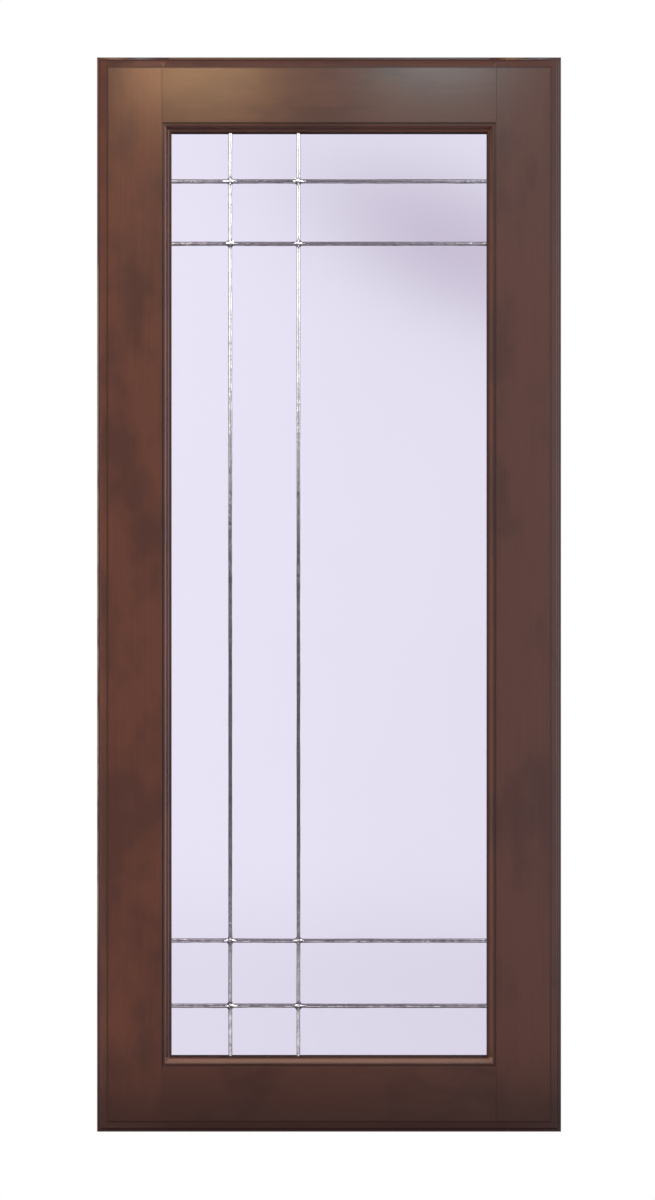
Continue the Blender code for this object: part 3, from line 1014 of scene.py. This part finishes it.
def make_border_came(side, material):
    """A mitred length of the came round the panel's edge."""
    leading = settings().leading
    node = "border_came_" + side
    low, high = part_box(node)
    spot, face, length = box_span((low, high), side)
    work = bar(border_came_outline(leading, face, high.y - low.y), length)
    mitre(work)
    stand(work, side, spot[0], (low.y + high.y) / 2, spot[1])
    add_piece(node + "_finished", to_mesh(work, node), material, "came_metal", node)


def strayed(leading, along, seed):
    """How far a came strays sideways here, and how much its width swells."""
    slow = noise.noise(Vector((along / SLOW_WAVE, seed, 0.5)))
    quick = noise.noise(Vector((along / QUICK_WAVE, seed, 7.5)))
    stray = SLOW_SHARE * slow + (1 - SLOW_SHARE) * quick
    return leading.wander * stray, leading.swell * quick


def shape_came(work, leading, start, seed):
    """Lets a straight came wander, swell and ripple, by its place along the door."""
    length, width, depth = RIPPLE_WAVE
    for vertex in work.verts:
        along = start + vertex.co.z
        wander, swell = strayed(leading, along, seed)
        spot = Vector((along / length, vertex.co.x / width, seed + vertex.co.y / depth))
        ripple = leading.ripple * noise.noise(spot)
        vertex.co.x = vertex.co.x * (1 + swell) + wander
        vertex.co.y += math.copysign(ripple, vertex.co.y)


def make_came(node, side, material, seed):
    """One came between its node's ends. Side is left for an upright and top for a cross came."""
    leading = settings().leading
    low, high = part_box(node)
    middle = (low + high) / 2
    size = high - low
    upright = side == "left"
    face, length = (size.x, size.z) if upright else (size.z, size.x)
    start = middle.z if upright else middle.x
    work = bar(came_outline(leading, face, size.y), length)
    cut_across(work, length, leading.step)
    shape_came(work, leading, start, seed)
    stand(work, side, middle.x, middle.y, middle.z)
    add_piece(node + "_finished", to_mesh(work, node), material, "came_metal", node)


def solder_height(leading, face, along, across):
    """Height of the solder over the glass, where the two cames' crowns flow together."""
    half = face / 2
    upright, cross = (math.exp(-((abs(far) / half) ** 3) * SOLDER_FALL) for far in (across, along))
    together = (upright**3 + cross**3) ** (1 / 3)
    return together * (leading.crown + leading.solder_film)


def make_solder(face_name, row, side, material):
    """The solder over one crossing, run out in four points along the cames."""
    leading = settings().leading
    node = f"solder_{face_name}_{row}_{side}"
    low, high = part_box(node)
    toward = -1 if face_name == "front" else 1
    upright_low, upright_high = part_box("upright_came_" + side)
    surface = upright_low.y + leading.crown if toward < 0 else upright_high.y - leading.crown
    face = upright_high.x - upright_low.x
    centre = (low + high) / 2
    seed = centre.x * 90 + centre.z * 41 + toward
    work = bmesh.new()
    around, over = SOLDER_FACETS
    bmesh.ops.create_uvsphere(work, u_segments=around, v_segments=over, radius=1)
    point = leading.solder_point
    for vertex in work.verts:
        outside = vertex.co.z > 0
        angle = math.atan2(vertex.co.y, vertex.co.x)
        spread = abs(math.cos(angle)) ** point + abs(math.sin(angle)) ** point
        way = Vector((math.cos(angle) * ARM_NOISE, math.sin(angle) * ARM_NOISE, seed))
        arm = 1 + ARM_SPREAD * noise.noise(way)
        reach = leading.solder_reach * arm / spread ** (1 / point)
        share = math.hypot(vertex.co.x, vertex.co.y)
        across = vertex.co.x * reach
        along = vertex.co.y * reach
        spot = Vector((across / LUMP_WAVE, along / LUMP_WAVE, seed))
        lump = 1 + LUMP_SPREAD * noise.noise(spot)
        height = solder_height(leading, face, along, across) * lump
        lift = height * max(0.0, 1 - share**SOLDER_RIM) if outside else 0.0
        vertex.co = (centre.x + across, surface + toward * lift, centre.z + along)
    add_piece(node + "_finished", to_mesh(work, node), material, "solder", node)


# The stage


def add_camera():
    """A long lens square to the door, framed as the door was photographed."""
    stage = settings().stage
    data = bpy.data.cameras.new("Camera")
    data.lens = data.sensor_width * stage.camera_distance / stage.view_height
    camera = bpy.data.objects.new("Camera", data)
    ahead = FACE_Y - stage.camera_distance
    camera.location = (CENTRE_X + stage.view_right, ahead, CENTRE_Z + stage.view_up)
    camera.rotation_euler = (math.radians(90), 0, 0)
    bpy.context.scene.collection.objects.link(camera)
    bpy.context.scene.camera = camera


def lit_group(name):
    """A collection of pieces that some of the lights shine on alone."""
    return bpy.data.collections.get(name) or bpy.data.collections.new(name)


def all_but_wood():
    """A collection that keeps a light off the wooden pieces."""
    found = bpy.data.collections.get("All but the wood")
    if not found:
        found = bpy.data.collections.new("All but the wood")
        found.children.link(lit_group("Wooden pieces"))
        found.collection_children[0].light_linking.link_state = "EXCLUDE"
    return found


def add_soft_light(name, place, target, size, radiance, colour, only, rays="both"):
    """A rectangular light that gives this radiance, to a group of pieces or to everything.

    Its rays are both, or diffuse for a light that isn't mirrored, or glossy for one that
    is only mirrored.
    """
    data = bpy.data.lights.new(name, "AREA")
    data.shape = "RECTANGLE"
    data.size, data.size_y = size
    data.energy = radiance * math.pi * size[0] * size[1]
    data.color = colour
    light = bpy.data.objects.new(name, data)
    light.location = place
    aim = Vector(target) - Vector(place)
    light.rotation_euler = aim.to_track_quat("-Z", "Y").to_euler()
    light.visible_camera = False
    light.visible_transmission = False
    light.visible_glossy = rays != "diffuse"
    light.visible_diffuse = rays != "glossy"
    bpy.context.scene.collection.objects.link(light)
    if only:
        light.light_linking.receiver_collection = only


def add_floor():
    """A pale round floor, which fades out at its rim."""
    stage = settings().stage
    level = DOOR_BOTTOM - stage.floor_drop
    work = bmesh.new()
    spot = Matrix.Translation((CENTRE_X, 0, level))
    radius = stage.floor_radius
    bmesh.ops.create_circle(work, cap_ends=True, segments=FLOOR_SIDES, radius=radius, matrix=spot)
    floor = bpy.data.objects.new("Floor", to_mesh(work, "Floor"))
    bpy.context.scene.collection.objects.link(floor)
    material, net, shader = new_material("Pale floor", {"Roughness": FLOOR_ROUGHNESS})
    place = net.object_place()
    grit = net.noise(place, FLOOR_GRIT, 3)
    shaded = net.mix(net.times(grit, GRIT_COVER), stage.floor_colour, GRIT_COLOUR)
    centred = net.stretch(place, (1, 1, 1), (0, 0, 0), (-CENTRE_X, 0, -level))
    away = net.add("ShaderNodeVectorMath", {0: centred}, operation="LENGTH").outputs["Value"]
    fade_from, fade_to = (radius * share for share in FLOOR_FADE)
    rim = net.span(away, fade_from, fade_to, 1.0, 0.0, smooth=True)
    net.feed_all(shader, Base_Color=shaded, Alpha=rim)
    floor.data.materials.append(material)
    # The door doesn't mirror the floor or take light from it
    floor.visible_diffuse = False
    floor.visible_glossy = False
    lit_group("Ground").objects.link(floor)


def backdrop_shade(net):
    """The backdrop's colour behind the glass: a soft shadow at the upper right, one low."""
    direction = net.add("ShaderNodeTexCoord").outputs["Generated"]
    parts = net.add("ShaderNodeSeparateXYZ", {"Vector": direction})
    ahead = net.larger(parts.outputs["Y"], 0.1)
    across = net.math("DIVIDE", parts.outputs["X"], ahead)
    up = net.math("DIVIDE", parts.outputs["Z"], ahead)
    spot = net.add("ShaderNodeCombineXYZ", {"X": across, "Y": up})
    inputs = {
        "Vector": spot.outputs["Vector"],
        "Location": SHADOW_PLACE,
        "Rotation": (0, 0, SHADOW_TURN),
        "Scale": SHADOW_SIZE,
    }
    centred = net.add("ShaderNodeMapping", inputs, vector_type="TEXTURE").outputs["Vector"]
    squared = net.add("ShaderNodeVectorMath", {0: centred, 1: centred}, operation="DOT_PRODUCT")
    shadow = net.math("EXPONENT", net.times(squared.outputs["Value"], -1.0))
    shadow = net.times(shadow, SHADOW_DEPTH)
    low = net.span(up, LOW_SHADE_FROM, LOW_SHADE_TO, 0.0, LOW_SHADE_DEPTH, smooth=True)
    side = net.span(across, SIDE_SHADE_FROM, SIDE_SHADE_TO, 0.0, SIDE_SHADE_DEPTH)
    shade = net.math("ADD", net.math("ADD", shadow, low), side)
    light = net.math("SUBTRACT", 1.0, shade)
    green = net.math("SUBTRACT", 1.0, net.times(shade, SHADE_GREEN))
    colour = net.add("ShaderNodeCombineColor", {"Red": light, "Green": green, "Blue": light})
    return colour.outputs["Color"]


def light_world():
    """White behind the door, softly shaded through its glass, and a dim room all round it."""
    stage = settings().stage
    world = bpy.data.worlds.new("Studio")
    bpy.context.scene.world = world
    world.use_nodes = True
    world.node_tree.nodes.clear()
    net = Wiring(world.node_tree)
    direction = net.add("ShaderNodeTexCoord").outputs["Generated"]
    up = net.add("ShaderNodeSeparateXYZ", {"Vector": direction}).outputs["Z"]
    level = net.span(up, *ROOM_RISE, 1.0, ROOM_OVERHEAD, smooth=True)
    path = net.add("ShaderNodeLightPath").outputs

    def background(colour, strength=1.0):
        inputs = {"Color": colour, "Strength": strength}
        return net.add("ShaderNodeBackground", inputs).outputs["Background"]

    def either(chosen, first, second):
        inputs = {0: chosen, 1: first, 2: second}
        return net.add("ShaderNodeMixShader", inputs).outputs["Shader"]

    room = background(stage.room, level)
    through_glass = background(backdrop_shade(net))
    lit = either(path["Is Transmission Ray"], room, through_glass)
    seen = either(path["Is Camera Ray"], lit, background((1, 1, 1, 1)))
    net.add("ShaderNodeOutputWorld", {"Surface": seen})


def add_lights():
    """Lights for the wood, two lamps it mirrors, boxes that the cames mirror, the floor's light."""
    middle = (CENTRE_X, FACE_Y, CENTRE_Z)
    upper = (CENTRE_X, FACE_Y, CENTRE_Z + 0.3)
    wood = lit_group("Wooden pieces")
    leading = lit_group("Leaded pieces")
    solder = lit_group("Soldered crossings")
    ground = lit_group("Ground")
    other = all_but_wood()
    box = (1.3, 1.24)
    foot = (CENTRE_X, FACE_Y, CENTRE_Z - 0.3)
    reflector = (CENTRE_X, -2.3, -0.89)
    ahead = (CENTRE_X, 0, -0.89)
    wall = (1.0, 0, 0.1)
    overhead = (CENTRE_X, -1.2, 1.9)
    above = (CENTRE_X, -0.4, 2.2)
    below = (CENTRE_X, -0.2, DOOR_BOTTOM)
    warm = (0.0323, -0.82, 0.574)
    cool = (0.292, -0.82, 0.591)
    lights = (
        ("Soft box left", (-0.74, -2.32, 0.9), (-0.74, 0, 0.9), box, 2.4, (1, 0.96, 0.93), other),
        ("Soft box right", (1.1, -2.32, 0.9), (1.1, 0, 0.9), box, 2.2, (0.95, 0.97, 1), other),
        ("Low reflector", reflector, ahead, (3.0, 0.64), 0.85, (1, 0.95, 1), leading),
        ("Overhead strip", overhead, middle, (2.0, 0.7), 15.0, (1, 0.97, 1), solder, "glossy"),
        ("Key light", (-0.3, -3.6, 1.9), middle, (2.0, 1.4), 13.9, (1, 0.98, 0.96), wood, "diffuse"),
        ("Fill light", (-1.5, -2.2, -0.8), foot, (1.0, 1.0), 5.6, (1, 0.97, 0.9), wood, "diffuse"),
        ("Right wall", (1.0, -2.3, 0.1), wall, (1.3, 1.6), 0.5, (0.8, 0.88, 1), wood, "glossy"),
        ("Side wall", (1.9, -0.9, 0.2), middle, (1.0, 1.6), 3.4, (0.93, 0.93, 1), wood, "glossy"),
        ("Side light left", (-1.6, -0.1, 0.0), middle, (0.3, 1.3), 3.0, (1, 0.94, 0.85), wood),
        ("Warm lamp", warm, upper, (0.14, 0.07), 17.0, (1, 0.63, 0.3), wood, "glossy"),
        ("Cool lamp", cool, upper, (0.13, 0.06), 11.8, (0.6, 0.98, 1), wood, "glossy"),
        ("Floor light", above, below, (2.6, 2.6), 2.6, (1, 0.99, 0.97), ground, "diffuse"),
        ("Soft box behind", (0.5, 2.2, 1.0), middle, (1.6, 1.6), 2.5, (1, 0.98, 0.96), None),
    )
    for light in lights:
        add_soft_light(*light)


# Operators


class DOOR_OT_stage(bpy.types.Operator):
    """Set up the camera, the lights and the pale floor"""

    bl_idname = "door.stage"
    bl_label = "Stage"

    def execute(self, context):
        context.scene.view_settings.view_transform = "Standard"
        add_camera()
        add_lights()
        light_world()
        add_floor()
        return {"FINISHED"}


class DOOR_OT_stiles(bpy.types.Operator):
    """Make the two moulded stiles"""

    bl_idname = "door.stiles"
    bl_label = "Stiles"

    def execute(self, context):
        for side in ("left", "right"):
            make_stile(side, wood_material(side + " stile"))
        return {"FINISHED"}


class DOOR_OT_rails(bpy.types.Operator):
    """Make the two coped rails"""

    bl_idname = "door.rails"
    bl_label = "Rails"

    def execute(self, context):
        for side in ("top", "bottom"):
            make_rail(side, wood_material(side + " rail"))
        return {"FINISHED"}


class DOOR_OT_beads(bpy.types.Operator):
    """Make the four glazing beads behind the panel"""

    bl_idname = "door.beads"
    bl_label = "Glazing beads"

    def execute(self, context):
        upright = wood_material("upright beads")
        across = wood_material("cross beads")
        for side in TURNS:
            make_bead(side, upright if side in ("left", "right") else across)
        return {"FINISHED"}


class DOOR_OT_panes(bpy.types.Operator):
    """Give the panes their clear glass"""

    bl_idname = "door.panes"
    bl_label = "Panes"

    def execute(self, context):
        glass = glass_material()
        panes = [obj for name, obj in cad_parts.items() if name.startswith("pane_")]
        if not panes:
            raise RuntimeError("the frame has no panes")
        for pane in panes:
            pane.data.materials.clear()
            pane.data.materials.append(glass)
        return {"FINISHED"}


class DOOR_OT_border_cames(bpy.types.Operator):
    """Make the came round the panel's edge"""

    bl_idname = "door.border_cames"
    bl_label = "Border cames"

    def execute(self, context):
        dull = metal_material("Dull came", BORDER_DULLNESS)
        for side in TURNS:
            make_border_came(side, dull)
        return {"FINISHED"}


class DOOR_OT_upright_cames(bpy.types.Operator):
    """Make the two upright cames"""

    bl_idname = "door.upright_cames"
    bl_label = "Upright cames"

    def execute(self, context):
        tinned = metal_material("Tinned came", UPRIGHT_DULLNESS)
        for seed, side in enumerate(("left", "right")):
            make_came("upright_came_" + side, "left", tinned, seed * 3.7)
        return {"FINISHED"}


class DOOR_OT_cross_cames(bpy.types.Operator):
    """Make the four rows of cross cames, three lengths to a row"""

    bl_idname = "door.cross_cames"
    bl_label = "Cross cames"

    def execute(self, context):
        # The cross cames' duller metal is partly painted shade, a darker copy of the tinned came
        tinned = metal_material("Dulled and shaded cross came", CROSS_PATINA_AND_SHADE)
        for row in ROWS:
            for column in COLUMNS:
                make_came(f"cross_came_{row}_{column}", "top", tinned, row * 5.3)
        return {"FINISHED"}


class DOOR_OT_solder(bpy.types.Operator):
    """Make the solder over every crossing, front and back"""

    bl_idname = "door.solder"
    bl_label = "Solder"

    def execute(self, context):
        bright = metal_material("Bright solder", SOLDER_DULLNESS)
        for face_name in ("front", "back"):
            for row in ROWS:
                for side in ("left", "right"):
                    make_solder(face_name, row, side, bright)
        return {"FINISHED"}


class DOOR_PT_panel(bpy.types.Panel):
    """Lists the door's operators and settings"""

    bl_idname = "DOOR_PT_panel"
    bl_label = "Glazed Door"
    bl_space_type = "VIEW_3D"
    bl_region_type = "UI"
    bl_category = "Glazed Door"

    def draw(self, context):
        for operator in OPERATORS:
            self.layout.operator(operator.bl_idname)
        door = settings()
        for group in (door.wood, door.moulding, door.leading, door.glass, door.stage):
            box = self.layout.box()
            for name in group.__annotations__:
                box.prop(group, name)


SETTINGS = (WoodSettings, MouldingSettings, LeadingSettings, GlassSettings, StageSettings)
OPERATORS = (
    DOOR_OT_stage,
    DOOR_OT_stiles,
    DOOR_OT_rails,
    DOOR_OT_beads,
    DOOR_OT_panes,
    DOOR_OT_border_cames,
    DOOR_OT_upright_cames,
    DOOR_OT_cross_cames,
    DOOR_OT_solder,
)
CLASSES = (*SETTINGS, GlazedDoorSettings, *OPERATORS, DOOR_PT_panel)


def register():
    for cls in CLASSES:
        bpy.utils.register_class(cls)
    bpy.types.Scene.glazed_door = PointerProperty(type=GlazedDoorSettings)


def unregister():
    del bpy.types.Scene.glazed_door
    for cls in reversed(CLASSES):
        bpy.utils.unregister_class(cls)


def main():
    register()
    bpy.ops.door.stage()
    bpy.ops.door.stiles()
    bpy.ops.door.rails()
    bpy.ops.door.beads()
    bpy.ops.door.panes()
    bpy.ops.door.border_cames()
    bpy.ops.door.upright_cames()
    bpy.ops.door.cross_cames()
    bpy.ops.door.solder()


if __name__ == "__main__":
    main()
